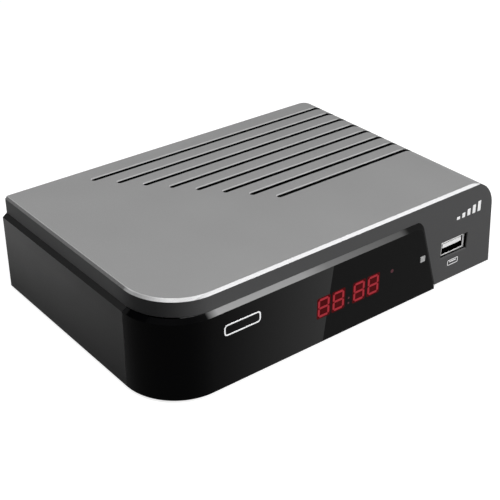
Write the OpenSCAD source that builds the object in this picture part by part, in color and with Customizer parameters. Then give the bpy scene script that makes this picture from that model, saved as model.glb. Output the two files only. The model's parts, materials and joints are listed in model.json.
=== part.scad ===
// Digital television receiver: a two-part moulded case with a rolled right edge,
// a proud gloss fascia that wraps the front left corner, and the boards and sockets inside.
// Millimetres, +Z up, front towards -Y, origin on the floor under the middle of the outer box.

/* [Case] */
// Overall width, lower left wall to the foot of the right wall
case_w = 172; // [166:0.5:190]
// Depth from the front of the fascia to the rear edge
case_d = 111; // [100:0.5:130]
// Height of the closed case without its feet
case_h = 41; // [38:0.5:50]
// Wall thickness of the moulded shells
wall = 2; // [1.6:0.1:2.4]
// Gap between mating mouldings
seam = 0.15; // [0.05:0.05:0.3]

/* [Cover] */
// Height of the cover's skirt and front band
band_h = 7.3; // [6:0.1:9]
// Plan radius of the cover's front left corner
cover_corner_r = 22; // [16:0.5:26]
// Radius of the rolled right edge
roll_r = 14; // [9:0.5:15]
// How far the right wall spreads towards its foot
right_draft = 2; // [0.5:0.1:2.4]
// Depth of the bright bevel on the top
bevel_in = 1; // [0.8:0.1:2]
// Height of the bright bevel
bevel_h = 1.1; // [0.8:0.1:2]
// Height of the lip that hangs over the rear panel
rear_lip_h = 2.4; // [1.6:0.1:3]

/* [Vents] */
// Number of long top slots
vent_count = 8; // [4:1:9]
// Spacing of the top slots
vent_pitch = 8.36; // [7:0.1:8.6]
// Width of a top slot
vent_w = 2.1; // [1.2:0.1:2.4]
// Width of the small chamfer on each slot
vent_chamfer = 0.4; // [0.2:0.05:0.5]
// Rearmost slot to the rear edge
vent_rear = 9; // [7:0.5:12]
// Left end of the rearmost slot from the cover's left side
vent_left = 35; // [25:0.5:45]
// Step of each next slot's left end to the right
vent_step = 7.22; // [5:0.1:8]

/* [Fascia] */
// How far the fascia and lower case stand proud of the cover
ledge_w = 2; // [1.4:0.1:2.4]
// Drop of the sloped ledge under the skirt
ledge_drop = 1.5; // [1:0.1:2]
// Plan radius of the fascia's wrapped corner
lower_corner_r = 22.4; // [16:0.2:26]
// Fascia's lower right end from the right foot of the case
fascia_right = 35.7; // [32:0.1:40]
// Lean of the fascia's right end in degrees
fascia_lean = 17.3; // [5:0.1:20]
// Width of the fascia's sloped right end
end_slope = 2.3; // [1.5:0.1:2.6]
// Radius of the fascia's upper right corner
fascia_corner_r = 5; // [3:0.5:7]

/* [Front controls] */
// Middle of the display from the fascia's lower right end
display_in = 48.8; // [46:0.1:52]
// Middle height of the display above the case bottom
display_z = 15.8; // [14:0.1:18]
// Height of a display digit
digit_h = 8.5; // [7:0.1:9]
// Width of a display digit
digit_w = 6; // [4.5:0.1:6.4]
// Spacing of two neighbouring digits
digit_pitch = 7.5; // [6.5:0.1:8]
// Extra gap for the colon
colon_gap = 3.2; // [2.5:0.1:4]
// Width of a lit segment
segment_w = 1.2; // [0.7:0.1:1.4]
// Standby button from the fascia's lower right end
button_in = 8.7; // [8.5:0.1:9.5]
// Standby button height above the case bottom
button_z = 17.4; // [15:0.1:20]
// Side of the square button cap
button_w = 2.5; // [2.4:0.1:3.4]
// Travel of the button
button_travel = 0.5; // [0.2:0.05:0.7]
// Standby light from the fascia's lower right end
led_in = 25.8; // [25:0.1:27]
// Standby light height above the case bottom
led_z = 18.2; // [15:0.1:20]
// Remote receiver from the fascia's lower right end
ir_in = 17.6; // [17:0.1:19]

/* [Sockets] */
// Front USB socket from the right foot of the case
usb_right = 23.4; // [21:0.1:24]
// Width of the USB cut-out in the front panel
usb_hole_w = 15.6; // [15:0.1:17]
// Height of the USB cut-out in the front panel
usb_hole_h = 7; // [6.8:0.1:7.6]
// Recess of the USB shell behind the front panel
usb_recess = 1.2; // [0.6:0.1:1.6]
// How far the rear jacks stick out behind the case
jack_out = 9; // [7:0.5:11]
// Outer radius of a phono barrel
phono_r = 4.15; // [4:0.05:4.3]
// Spacing of the phono jacks
phono_pitch = 14; // [13:0.5:15]

/* [Boards] */
// Underside of the main board above the case bottom
board_z = 10; // [9:0.1:11]
// Thickness of the circuit boards
board_t = 1.6; // [1:0.1:2]
// Width of the main board
board_w = 130.5; // [125:0.5:133]
// Right edge of the main board from the right foot of the case
board_right = 13.5; // [12.5:0.1:15]

/* [Feet and screws] */
// Height of the feet under the case
foot_h = 1.2; // [0.8:0.1:2.5]
// Radius of a rubber foot
foot_r = 5; // [3.5:0.5:6]
// Radius of a case screw post
post_r = 3.5; // [3.4:0.1:4]
// Radius of a case screw
screw_r = 1.45; // [1.2:0.05:1.6]

/* [Hidden] */
$fn = 64;

eps = 0.01;
far = 400;
reach = 60;

// How far the button stands out of the fascia
button_proud = 0.25;

// Outer limits of the case
x_l = -case_w / 2;
x_r = case_w / 2;
y_f = (button_proud - case_d - jack_out) / 2;
y_b = y_f + case_d;
z_0 = foot_h;
z_t = foot_h + case_h;
z_split = z_t - band_h;
z_ledge = z_split - ledge_drop;

// Cover limits, set back from the lower case by the ledge
cover_x = x_l + ledge_w;
cover_y = y_f + ledge_w;
cover_r = x_r - right_draft;

// Lean of the fascia's right end
lean_tan = tan(fascia_lean);
fascia_end = x_r - fascia_right;
function fascia_x(z) = fascia_end - (z - z_0) * lean_tan;

// Controls on the fascia
display_x = fascia_end - display_in;
button_x = fascia_end - button_in;
led_x = fascia_end - led_in;
ir_x = fascia_end - ir_in;

// Pins that hold the fascia to the wall behind it, across and up from the display
pin_r = 1.2;
pin_gap = 0.1;
pin_head = 0.8;
pin_head_r = pin_r + 0.7;
pin_left = 50;
pin_mid = 22;
pin_right = 34;
pin_up = 11;
pin_down = 8;
pin_low = 9;
pin_places = [
  [display_x - pin_left, display_z - pin_down], [display_x - pin_left, display_z + pin_up],
  [display_x + pin_mid, display_z + pin_up], [display_x + pin_right, display_z - pin_low]];

// Case screw posts
post_inset_l = 13.75;
post_inset_r = 8.9;
post_front_l = 28;
post_front_r = 14.5;
post_rear = 14;
post_places = [
  [x_l + post_inset_l, y_f + post_front_l], [x_l + post_inset_l, y_b - post_rear],
  [x_r - post_inset_r, y_f + post_front_r], [x_r - post_inset_r, y_b - post_rear]
];
post_h = 22;
post_top = z_0 + post_h;
screw_lift = 14;
screw_seat = z_0 + screw_lift;
screw_head_r = 2.8;
screw_head_h = 2;
screw_len = 14;
screw_slot_w = 0.7;
screw_slot_len = 3.2;
screw_slot_h = 1;
boss_grow = 0.8;
head_gap = 0.3;
shank_gap = 0.25;
bore_spare = 1;
fit_gap = 0.03;

// Feet
foot_inset_x = 26;
foot_inset_y = 24;
foot_seat = 0.8;
foot_places = [for (x = [x_l + foot_inset_x, x_r - foot_inset_x],
                    y = [y_f + foot_inset_y, y_b - foot_inset_y + ledge_w]) [x, y]];

// Rear panel, held between the floor's ribs and the cover's lip
panel_t = 1.8;
panel_in = 1.2;
panel_y1 = y_b - panel_in;
panel_y0 = panel_y1 - panel_t;
rib_t = 1.4;
rib_h = 3;
rib_w = 8;
rib_in = 20;

// Left wall's thickness past the ledge, and the front panel's overlap behind the fascia
left_wall_in = ledge_w + 0.6;
panel_lap = ledge_drop - 0.6;

// Tongues that line up the cover's left skirt, from the rounded corner, the middle and the rear edge
skirt_tongue_len = 10;
skirt_tongue_t = 1.4;
skirt_tongue_up = 3;
skirt_tongue_foot = 12;
skirt_tongue_bend = 5;
skirt_tongue_front = 12;
skirt_tongue_rear = 26;

// Right edge of the floor and of the low wall above it, inside the spreading right wall
draft_rate = right_draft / (case_h - roll_r);
floor_right = x_r - wall - draft_rate * wall - seam;
low_wall_right = x_r - wall - draft_rate * board_z - seam;

// Right ends of the top slots and of their chamfers, and their foot over the roll
vent_right = 2.5;
vent_over_roll = 2;
vent_chamfer_right = 3;

// Slots through the floor
floor_vent_count = 10;
floor_vent_pitch = 7;
floor_vent_w = 2.4;
floor_vent_len = 24;
floor_vent_gap = 6;

// Carrier wall of the lower case behind the fascia, and the front board behind that
carrier_y1 = cover_y + seam + wall;
fb_y0 = carrier_y1 + 5.35;
fb_y1 = fb_y0 + board_t;

// Display
display_w = 4 * digit_pitch + colon_gap + 1.6;
display_h = digit_h + 5;
display_y0 = cover_y + 0.4;
segment_t = 0.3;
segment_gap = 0.12;
window_gap = 0.3;
colon_r = 0.45;
colon_rises = [0.9, 3.2];

// Standby light and remote receiver on the front board
led_r = 1.5;
led_front = 1.7;
led_flange_r = 1.9;
led_flange_t = 1;
led_hole_gap = 0.2;
ir_w = 4.4;
ir_h = 5.4;
ir_front = 3.4;
ir_lens_r = 1.9;
ir_lens_out = 1.2;
ir_lens_curve = 2.1;
ir_lens_flat = 0.1;
ir_hole_gap = 0.3;

// Button, its retaining tabs and the switch
button_clear = 0.15;
tab_t = 0.8;
tab_h = 1.5;
tab_y0 = cover_y + 0.3;
tab_clear = 0.4;
stem_w = 2.4;
switch_side = 6;
switch_depth = 3.5;
switch_y0 = fb_y0 - switch_depth;
plunger_r = 1.75;
plunger_out = 0.8;
plunger_len = 2;
plunger_y0 = switch_y0 - plunger_out;
plunger_gap = 0.05;
plunger_spare = 0.2;

// Front board, upright behind the fascia
fb_x0 = display_x - display_w / 2 - 6.65;
fb_x1 = button_x + switch_side / 2 + 3.15;
fb_foot = 5;
fb_top = 27;
fb_z0 = z_0 + fb_foot;
fb_z1 = z_0 + fb_top;
guide_w = 5;
guide_bite = 2.5;
guide_gap = 0.1;
guide_h = 23;
guide_top = z_0 + guide_h;

// Main board and its fixings
mb_z0 = z_0 + board_z;
mb_z1 = mb_z0 + board_t;
mb_x1 = x_r - board_right;
mb_x0 = mb_x1 - board_w;
mb_y0 = fb_y1 + 4.4;
mb_y1 = panel_y0 - 1;
tongue_y = cover_y + wall + 0.6;
board_hole_r = 1.6;
board_hole_in = 4;
board_hole_front = 7;
board_hole_rear = 20;
board_screw_r = 1.25;
board_screw_len = 7;
board_screw_head_r = 2.6;
board_screw_head_h = 1.6;
board_hole_places = [for (x = [mb_x0 + board_hole_in, mb_x1 - board_hole_in],
                          y = [mb_y0 + board_hole_front, mb_y1 - board_hole_rear]) [x, y]];
standoff_r = 3;

// USB socket
usb_x = x_r - usb_right;
usb_shell_w = 13.2;
usb_shell_h = 6;
usb_sheet = 0.35;
usb_lip_side = 0.7;
usb_lip_edge = 0.35;
usb_depth = 14;
usb_leg_y = 6;
usb_leg_w = 3;
usb_hole_chamfer = 0.5;
usb_contact_w = 1;
usb_contact_t = 0.2;
usb_contact_in = 1.2;
usb_contact_places = [-3.5, -1, 1, 3.5];
usb_lift = 0.55;
usb_tongue_in = 0.2;
usb_tongue_drop = 0.75;
usb_z = mb_z1 + usb_lift + usb_shell_h / 2;
usb_y0 = cover_y + usb_recess;
usb_tongue_w = 11.1;
usb_tongue_h = 1.84;
usb_tongue_z = usb_z + usb_shell_h / 2 - usb_sheet - usb_tongue_drop - usb_tongue_h;
usb_tongue_y0 = usb_y0 + usb_tongue_in;
usb_base_t = 2.5;
tongue_side = 5;
tongue_x0 = usb_x - usb_shell_w / 2 - tongue_side;

// Rear sockets, placed from the left edge of the main board
can_x0 = mb_x0 + 8;
can_w = 33;
can_d = 38;
can_h = 13;
can_sheet = 0.5;
can_y1 = panel_y0 - 0.3;
rf_lift = 7;
rf_z = mb_z1 + rf_lift;
rf_in_x = can_x0 + 8;
rf_out_x = can_x0 + can_w - 8;
rf_in_r = 5.6;
rf_in_bore_r = 4.8;
rf_out_r = 4.76;
rf_out_bore_r = 4.1;
rf_pin_r = 1.17;
rf_socket_r = 1.9;
rf_socket_len = 7.5;
rf_socket_gap = 0.05;
rf_pin_len = 8;
rf_bore_depth = 9;
rf_insulator_t = 2;
rf_bore_y = y_b + jack_out - rf_bore_depth;
rf_hole_gap = 0.3;
hdmi_x = can_x0 + can_w + 15;
hdmi_w = 15.2;
hdmi_h = 5.6;
hdmi_corner = 1.6;
hdmi_sheet = 0.4;
hdmi_depth = 11;
hdmi_out = 0.4;
hdmi_y1 = panel_y1 + hdmi_out;
hdmi_back_t = 1.5;
hdmi_tongue_w = 11.6;
hdmi_tongue_t = 1;
hdmi_tongue_drop = 0.1;
hdmi_tongue_in = 1.5;
hdmi_leg_y = 7;
hdmi_leg_w = 2;
hdmi_lift = 0.3;
hdmi_z = mb_z1 + hdmi_lift + hdmi_h / 2;
phono_from_hdmi = 23;
phono_lift = 9;
phono_x = hdmi_x + phono_from_hdmi;
phono_z = mb_z1 + phono_lift;
phono_bore_r = 1.7;
phono_insert_r = 3.3;
phono_flange_r = phono_r + 0.9;
phono_insert_back = 4;
phono_bore_back = 2;
phono_insert_in = 0.3;
phono_body_d = 10;
phono_body_h = 13.5;
dc_x = phono_x + 2 * phono_pitch + 15;
dc_w = 9;
dc_h = 11;
dc_depth = 13;
dc_bore_r = 2.85;
dc_bore_depth = 9;
dc_nose_r = dc_w / 2 - 0.8;
dc_nose_out = 0.2;
dc_pin_r = 1.05;
dc_pin_in = 1;
dc_lift = 6.2;
dc_z = mb_z1 + dc_lift;
socket_gap = 0.4;

// Processor, its cooler and the other parts on the main board
soc_x = (mb_x0 + mb_x1) / 2;
soc_y = (mb_y0 + mb_y1) / 2 - 4;
soc_w = 19;
soc_t = 1.4;
sink_w = 26;
sink_base = 2;
sink_h = 11;
fin_count = 8;
fin_t = 1.1;
memory_t = 1.2;
// Each chip's place from the processor, then its width and depth
memory_chip_sizes = [[32, 4, 12, 9], [-30, -14, 8, 5.2], [30, -16, 5, 4]];
capacitor_r = 3.1;
capacitor_h = 11;
// Each capacitor's place from the power socket, then forward from the board's rear edge
capacitor_places = [[-6, 26], [2, 27], [-14, 30], [can_x0 + can_w + 6 - dc_x, 20]];
coil_r = 3.9;
coil_h = 4;
coil_left = 4;
coil_front = 38;
crystal_r = 2.2;
crystal_half = 3.3;
crystal_h = 3.4;
crystal_gap = 1;
crystal_rear = 6;

// Ribbon between the boards
ribbon_x = display_x + 8;
ribbon_w = 16;
ribbon_t = 0.6;
ribbon_bend = 4;
ribbon_lift = 20;
ribbon_z = z_0 + ribbon_lift;
socket_d = 4;
socket_h = 4;
socket_spare = 1;
ribbon_run = 5;
socket_y = fb_y1 + socket_d + ribbon_run + ribbon_bend;

// Plan outline whose front left corner is rounded
module plan_outline(x0, y0, x1, y1, r) {
  translate([x0 + r, y0]) square([x1 - x0 - r, y1 - y0]);
  translate([x0, y0 + r]) square([x1 - x0, y1 - y0 - r]);
  translate([x0 + r, y0 + r]) circle(r);
}

// Front outline of the cover: rolled upper right edge over a spreading right wall
module front_outline(x0, x1, foot_x, z0, z1, r) {
  translate([x0, z0]) square([x1 - r - x0, z1 - z0]);
  translate([x1 - r, z1 - r]) circle(r);
  polygon([[x1 - r - 1, z0], [foot_x, z0], [x1, z1 - r], [x1 - r - 1, z1 - r]]);
}

// Extrudes an outline drawn in X and Z along Y
module along_y(y0, y1) {
  translate([0, y1, 0]) rotate([90, 0, 0]) linear_extrude(y1 - y0) children();
}

// Extrudes an outline drawn in Y and Z along X
module along_x(x0, x1) {
  translate([x0, 0, 0]) rotate([90, 0, 90]) linear_extrude(x1 - x0) children();
}

// Round bar along Y
module rod_y(x, z, y0, y1, r) {
  translate([x, y0, z]) rotate([-90, 0, 0]) cylinder(h = y1 - y0, r = r);
}

// Box between two corners
module span(low, high) {
  translate(low) cube(high - low);
}

// Full outer form of the cover before it is hollowed
module cover_block() {
  intersection() {
    translate([0, 0, z_0]) linear_extrude(case_h)
      plan_outline(cover_x, cover_y, x_r, y_b, cover_corner_r);
    along_y(cover_y, y_b) front_outline(cover_x, cover_r, x_r, z_0, z_t, roll_r);
  }
}

// Hollow inside the cover, open below
module cover_hollow() {
  intersection() {
    translate([0, 0, z_0 - 1]) linear_extrude(case_h)
      plan_outline(cover_x + wall, cover_y + wall, x_r, panel_y1 + seam, cover_corner_r - wall);
    along_y(cover_y, y_b)
      front_outline(cover_x, cover_r - wall, x_r - wall, z_0 - 1, z_t - wall, roll_r - wall);
  }
}

// What the bright bevel takes off the front, corner and left edges, running out over the rolled edge
module bevel_cut() {
  // Front edge
  along_x(cover_x, far) polygon([
    [cover_y - eps, z_t - bevel_h], [cover_y + bevel_in, z_t + eps], [cover_y - eps, z_t + eps]]);
  // Left edge
  along_y(cover_y + cover_corner_r, y_b + 1) polygon([
    [cover_x - eps, z_t - bevel_h], [cover_x + bevel_in, z_t + eps], [cover_x - eps, z_t + eps]]);
  // Rounded corner
  difference() {
    span([cover_x - 1, cover_y - 1, z_t - bevel_h],
         [cover_x + cover_corner_r, cover_y + cover_corner_r, z_t + 1]);
    translate([cover_x + cover_corner_r, cover_y + cover_corner_r, z_t - bevel_h])
      cylinder(h = bevel_h, r1 = cover_corner_r, r2 = cover_corner_r - bevel_in);
    translate([cover_x + cover_corner_r, cover_y + cover_corner_r, z_t - bevel_h - 1])
      cylinder(h = bevel_h + 3, r = cover_corner_r - bevel_in - eps);
  }
}

// One top slot with a round left end and a small chamfer, cut down over the rolled edge
module vent_slot(i) {
  r = vent_w / 2;
  y = y_b - vent_rear - i * vent_pitch;
  x0 = cover_x + vent_left + i * vent_step + r;
  z0 = z_t - roll_r + vent_over_roll;
  z1 = z_t - vent_chamfer;
  spread = vent_chamfer + eps;
  translate([x0, y, z0]) cylinder(h = z_t - z0 + 1, r = r);
  translate([x0, y, z1]) cylinder(h = spread, r1 = r, r2 = r + spread);
  span([x0, y - r, z0], [cover_r - vent_right, y + r, z_t + 1]);
  along_x(x0, cover_r - roll_r + vent_chamfer_right) polygon([
    [y - r, z1], [y + r, z1], [y + r + spread, z_t + eps], [y - r - spread, z_t + eps]]);
}

// Room beyond a rounded upper right corner, between straight up and square to the leaning end
module corner_wedge(x, z, y0, y1) {
  along_y(y0, y1) polygon([
    [x, z], [x + reach * cos(fascia_lean), z + reach * sin(fascia_lean)],
    [x + reach, z + reach], [x, z + reach]]);
}

// Line of the front panel's left edge, hidden under the fascia's sloped right end
module panel_edge_cut(shift) {
  c_z = z_split - fascia_corner_r;
  c_x = fascia_x(c_z) + shift - fascia_corner_r / cos(fascia_lean);
  difference() {
    along_y(y_f - 1, cover_y + wall + 1) polygon([
      [x_l - 1, z_0 - 1], [fascia_x(z_0 - 1) + shift, z_0 - 1],
      [fascia_x(z_split) + shift, z_split], [x_l - 1, z_split]]);
    difference() {
      corner_wedge(c_x, c_z, y_f - 2, cover_y + wall + 2);
      rod_y(c_x, c_z, y_f - 3, cover_y + wall + 3, fascia_corner_r);
    }
  }
}

module top_cover() color("darkgray") {
  hole_x0 = usb_x - usb_hole_w / 2;
  hole_x1 = usb_x + usb_hole_w / 2;
  hole_y = cover_y + usb_hole_chamfer;
  hole_z0 = usb_z - usb_hole_h / 2;
  hole_z1 = usb_z + usb_hole_h / 2;
  difference() {
    union() {
      difference() {
        cover_block();
        cover_hollow();
      }
      // Screw bosses
      intersection() {
        cover_block();
        for (p = post_places)
          translate([p[0], p[1], post_top]) cylinder(h = z_t - post_top, r = post_r);
      }
    }
    bevel_cut();
    for (i = [0 : vent_count - 1]) vent_slot(i);
    // Front wall below the band gives way to the fascia
    panel_edge_cut(panel_lap);
    // Left skirt stops at the parting line
    span([x_l - 1, cover_y + wall, z_0 - 1], [cover_x + wall + 1, y_b + 1, z_split]);
    // Left front corner stops at the parting line
    span([x_l - 1, y_f - 1, z_0 - 1],
         [cover_x + cover_corner_r, cover_y + cover_corner_r, z_split]);
    // Rear wall leaves only a lip
    span([cover_x + wall, panel_y1 - 1, z_0 - 1], [cover_r - wall, y_b + 1, z_t - wall - rear_lip_h]);
    // Lower right rear corner makes room for the floor
    span([cover_r - wall - 1, panel_y1 - 1, z_0 - 1], [floor_right + seam, y_b + 1, z_0 + wall + seam]);
    // USB cut-out with a small lead-in
    span([hole_x0, cover_y - 1, hole_z0], [hole_x1, cover_y + wall + 1, hole_z1]);
    along_x(hole_x0, hole_x1) polygon([
      [cover_y - eps, hole_z0 - usb_hole_chamfer], [cover_y - eps, hole_z1 + usb_hole_chamfer],
      [hole_y, hole_z1], [hole_y, hole_z0]]);
    // Screw bores
    for (p = post_places)
      translate([p[0], p[1], post_top - 1])
        cylinder(h = screw_seat + screw_len + bore_spare - post_top + 1, r = screw_r + fit_gap);
  }
}

// Outer form of the lower case and fascia with its sloped ledge
module lower_block() {
  difference() {
    translate([0, 0, z_0]) linear_extrude(z_split - z_0)
      plan_outline(x_l, y_f, x_r, y_b, lower_corner_r);
    along_x(x_l + lower_corner_r, far) polygon([
      [y_f - eps, z_ledge], [y_f + ledge_w, z_split + eps], [y_f - eps, z_split + eps]]);
    along_y(y_f + lower_corner_r, y_b + 1) polygon([
      [x_l - eps, z_ledge], [x_l + ledge_w, z_split + eps], [x_l - eps, z_split + eps]]);
    difference() {
      span([x_l - 1, y_f - 1, z_ledge],
           [x_l + lower_corner_r, y_f + lower_corner_r, z_split + 1]);
      translate([x_l + lower_corner_r, y_f + lower_corner_r, z_ledge])
        cylinder(h = ledge_drop, r1 = lower_corner_r, r2 = lower_corner_r - ledge_w);
      translate([x_l + lower_corner_r, y_f + lower_corner_r, z_ledge - 1])
        cylinder(h = ledge_drop + 3, r = lower_corner_r - ledge_w - eps);
    }
  }
}

// Lower case outline moved in from the outside
module lower_inset(inset, y1, z0, z1) {
  translate([0, 0, z0]) linear_extrude(z1 - z0)
    plan_outline(x_l + inset, y_f + inset, x_r, y1, lower_corner_r - inset);
}

// Right end of the fascia: sloped edge with a rounded upper corner
module fascia_end_cut() {
  c_z = z_ledge - fascia_corner_r;
  c_x = fascia_x(c_z) - fascia_corner_r / cos(fascia_lean);
  // Beyond the foot of the slope
  translate([fascia_x(z_0), 0, z_0]) rotate([0, -fascia_lean, 0]) {
    span([end_slope, y_f - 1, -reach], [far, y_f + 2 * ledge_w, reach]);
    // The slope itself
    translate([0, 0, -reach]) linear_extrude(2 * reach) polygon([
      [0, y_f - eps], [end_slope + eps, y_f + ledge_w], [far, y_f + ledge_w],
      [far, y_f - eps]]);
  }
  // Rounded upper corner
  difference() {
    corner_wedge(c_x, c_z, y_f - 1, y_f + 2 * ledge_w);
    translate([c_x, y_f, c_z]) rotate([-90, 0, 0])
      cylinder(h = ledge_w, r1 = fascia_corner_r, r2 = fascia_corner_r + end_slope);
  }
}

module front_fascia() color("black") {
  hole = button_w + 2 * button_clear;
  for (p = pin_places) {
    rod_y(p[0], z_0 + p[1], cover_y - eps, carrier_y1 + seam + pin_head, pin_r);
    rod_y(p[0], z_0 + p[1], carrier_y1 + seam, carrier_y1 + seam + pin_head, pin_head_r);
  }
  difference() {
    lower_block();
    lower_inset(ledge_w, far, z_0 - 1, z_t);
    span([x_l - 1, y_f + lower_corner_r, z_0 - 1], [x_r + 1, y_b + 1, z_t]);
    fascia_end_cut();
    translate([button_x - hole / 2, y_f - 1, z_0 + button_z - hole / 2])
      cube([hole, ledge_w + 2, hole]);
  }
}

// Post that guides the edge of the upright front board
module board_guide(x, bite_x) {
  difference() {
    span([x, fb_y0 - guide_w / 2, z_0], [x + guide_w, fb_y1 + guide_w / 2, guide_top]);
    span([bite_x, fb_y0 - guide_gap, fb_z0], [bite_x + guide_bite + eps, fb_y1 + guide_gap, guide_top + 1]);
  }
}

module bottom_case() color("dimgray") {
  panel_shift = panel_lap - 2 * seam;
  window_w = display_w + 2 * window_gap;
  window_h = display_h + 2 * window_gap;
  tab_room_w = button_w + 2 * tab_clear;
  tab_room_h = button_w + 2 * tab_h + 2 * tab_clear;
  hole_depth = carrier_y1 + 1 - y_f;
  ir_hole_w = ir_w + 2 * ir_hole_gap;
  ir_hole_h = ir_h + 2 * ir_hole_gap;
  tongue_x = cover_x + wall + seam;
  floor_t = wall;
  difference() {
    union() {
      // Left wall with the sloped ledge
      intersection() {
        difference() {
          lower_block();
          lower_inset(left_wall_in, far, z_0 - 1, z_t);
        }
        span([x_l - 1, y_f + lower_corner_r + seam, z_0], [x_l + ledge_w + 1, y_b, z_t]);
      }
      // Carrier wall behind the fascia
      intersection() {
        difference() {
          lower_inset(ledge_w + seam, far, z_0, z_split - seam);
          lower_inset(ledge_w + seam + wall, far, z_0 - 1, z_t);
        }
        span([x_l, y_f, z_0], [x_r, y_f + lower_corner_r + seam + eps, z_t]);
        panel_edge_cut(panel_shift);
      }
      // Floor
      intersection() {
        lower_inset(ledge_w + seam, y_b, z_0, z_0 + floor_t);
        span([x_l, cover_y + seam, z_0], [floor_right, y_b, z_0 + floor_t]);
        union() {
          panel_edge_cut(panel_shift);
          span([x_l, cover_y + wall + seam, z_0], [x_r, y_b, z_0 + floor_t]);
        }
      }
      // Low wall inside the cover's right wall
      span([low_wall_right - wall, cover_y + wall + seam, z_0],
           [low_wall_right, panel_y0 - seam, z_0 + board_z]);
      // Lip and rib that hold the rear panel
      span([x_l + left_wall_in - eps, panel_y1 + seam / 2, z_0],
           [cover_r - wall - seam, y_b, z_0 + floor_t + rib_h]);
      for (x = [x_l + rib_in, -rib_w / 2, x_r - rib_in - rib_w])
        span([x, panel_y0 - seam / 2 - rib_t, z_0],
             [x + rib_w, panel_y0 - seam / 2, z_0 + floor_t + rib_h]);
      // Screw posts and board standoffs
      for (p = post_places)
        translate([p[0], p[1], z_0]) cylinder(h = post_top - seam - z_0, r = post_r + boss_grow);
      for (p = board_hole_places)
        translate([p[0], p[1], z_0]) cylinder(h = board_z, r = standoff_r);
      // Guides for the front board
      board_guide(fb_x0 - guide_w + guide_bite - guide_gap, fb_x0 - guide_gap);
      board_guide(fb_x1 - guide_bite + guide_gap, fb_x1 - guide_bite + guide_gap - eps);
      // Tongues that line up the cover's left skirt
      for (y = [y_f + lower_corner_r + skirt_tongue_front, (y_f + y_b) / 2, y_b - skirt_tongue_rear])
        along_y(y, y + skirt_tongue_len) polygon([
          [x_l + ledge_w, z_split - skirt_tongue_foot + 2], [tongue_x, z_split - skirt_tongue_bend + 1],
          [tongue_x, z_split + skirt_tongue_up], [tongue_x + skirt_tongue_t, z_split + skirt_tongue_up],
          [tongue_x + skirt_tongue_t, z_split - skirt_tongue_bend],
          [x_l + ledge_w, z_split - skirt_tongue_foot]]);
    }
    // Display window, light hole, remote window and button room in the carrier wall
    translate([display_x - window_w / 2, y_f, z_0 + display_z - window_h / 2])
      cube([window_w, hole_depth, window_h]);
    rod_y(led_x, z_0 + led_z, y_f, carrier_y1 + 1, led_r + led_hole_gap);
    for (p = pin_places) rod_y(p[0], z_0 + p[1], y_f, carrier_y1 + 1, pin_r + pin_gap);
    translate([ir_x - ir_hole_w / 2, y_f, z_0 + led_z - ir_hole_h / 2])
      cube([ir_hole_w, hole_depth, ir_hole_h]);
    translate([button_x - tab_room_w / 2, y_f, z_0 + button_z - tab_room_h / 2])
      cube([tab_room_w, hole_depth, tab_room_h]);
    // Screw wells from below
    for (p = post_places) translate([p[0], p[1], z_0 - 1]) {
      cylinder(h = screw_seat - z_0 + 1, r = screw_head_r + head_gap);
      cylinder(h = post_top - z_0 + 2, r = screw_r + shank_gap);
    }
    for (p = board_hole_places)
      translate([p[0], p[1], z_0 + floor_t]) cylinder(h = board_z, r = board_screw_r + fit_gap);
    // Seats for the feet
    for (p = foot_places) translate([p[0], p[1], z_0 - 1]) cylinder(h = 1 + foot_seat, r = foot_r + seam);
    // Floor vents
    for (i = [0 : floor_vent_count - 1], side = [-1, 1])
      translate([(i - (floor_vent_count - 1) / 2) * floor_vent_pitch,
                 (y_f + y_b) / 2 + side * (floor_vent_len + floor_vent_gap) / 2, z_0])
        cube([floor_vent_w, floor_vent_len, 3 * floor_t], center = true);
  }
}

module rear_panel() color("#1c1c1e") {
  difference() {
    span([x_l + left_wall_in + seam, panel_y0, z_0 + wall + seam],
         [cover_r - wall - seam, panel_y1, z_t - wall - seam]);
    // Upper right corner clears the rolled edge
    difference() {
      span([cover_r - roll_r, panel_y0 - 1, z_t - roll_r], [x_r, panel_y1 + 1, z_t]);
      rod_y(cover_r - roll_r, z_t - roll_r, panel_y0 - 2, panel_y1 + 2, roll_r - wall - seam);
    }
    // Left edge clears the skirt
    span([x_l, panel_y0 - 1, z_split - seam], [cover_x + wall + seam, panel_y1 + 1, z_t]);
    rod_y(rf_in_x, rf_z, panel_y0 - 1, panel_y1 + 1, rf_in_r + rf_hole_gap);
    rod_y(rf_out_x, rf_z, panel_y0 - 1, panel_y1 + 1, rf_in_r + rf_hole_gap);
    translate([hdmi_x, panel_y0 - 1, hdmi_z]) along_y(0, panel_t + 2) hdmi_outline(socket_gap);
    for (i = [0 : 2])
      rod_y(phono_x + i * phono_pitch, phono_z, panel_y0 - 1, panel_y1 + 1, phono_flange_r + socket_gap);
    rod_y(dc_x, dc_z, panel_y0 - 1, panel_y1 + 1, dc_nose_r + socket_gap);
  }
}

module rubber_feet() color("#202022") {
  for (p = foot_places) translate([p[0], p[1], 0]) cylinder(h = z_0 + foot_seat, r = foot_r);
}

module case_screws() color("#8a8c90") {
  for (p = post_places) translate([p[0], p[1], 0]) difference() {
    union() {
      translate([0, 0, screw_seat - screw_head_h]) cylinder(h = screw_head_h, r = screw_head_r);
      translate([0, 0, screw_seat - eps]) cylinder(h = screw_len, r = screw_r);
    }
    for (a = [0, 90]) rotate([0, 0, a])
      translate([-screw_slot_len / 2, -screw_slot_w / 2, screw_seat - screw_head_h - 1])
        cube([screw_slot_len, screw_slot_w, screw_slot_h + 1]);
  }
}

module standby_button() color("silver") {
  cap = button_w / 2;
  stem = stem_w / 2;
  tab_y1 = tab_y0 + tab_t;
  translate([button_x, 0, z_0 + button_z]) {
    span([-cap, y_f - button_proud, -cap], [cap, tab_y1, cap]);
    span([-cap, tab_y0, -cap - tab_h], [cap, tab_y1, cap + tab_h]);
    span([-stem, tab_y0, -stem], [stem, plunger_y0, stem]);
  }
}

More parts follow.
